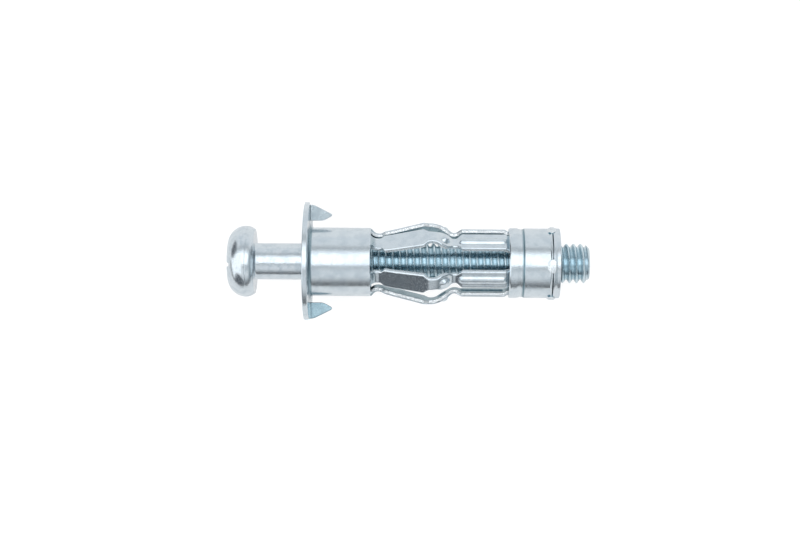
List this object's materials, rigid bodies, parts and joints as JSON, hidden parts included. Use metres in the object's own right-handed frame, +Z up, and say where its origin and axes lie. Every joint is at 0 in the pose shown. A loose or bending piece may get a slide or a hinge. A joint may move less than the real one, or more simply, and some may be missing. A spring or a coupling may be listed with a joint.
{
  "type": "hollow wall anchor",
  "caption": "Pressed steel hollow wall anchor: a flanged, pronged sleeve with folding legs, a nut crimped in its end and a pan head screw through it.",
  "frame": {"origin": "On the ground under the middle of the anchor as it lies at rest, on the rim of its flange and on the bead round the end of its sleeve.", "axes": "+X runs from the screw's head to its tip, +Z is up and is the side the picture shows, +Y is the picture's up. The anchor's own axis leans 5.5 degrees below +X, because the flange is wider than the bead."},
  "size_m": [0.0518, 0.017, 0.0171],
  "materials": {
    "sleeve_zinc": "bright zinc plate over pressed sheet steel",
    "nut_zinc": "bright zinc plate over turned steel",
    "screw_zinc": "bright blue-white zinc plate over cold headed steel"
  },
  "bodies": {
    "anchor": {"sleeve": "sleeve_zinc", "nut": "nut_zinc"},
    "screw": {"screw": "screw_zinc"}
  },
  "joints": [
    {"name": "screw_travel", "type": "slide", "parent": "anchor", "child": "screw", "axis": [0.9955, 0, -0.0951], "range_m": [-0.041, 0.00715]}
  ]
}
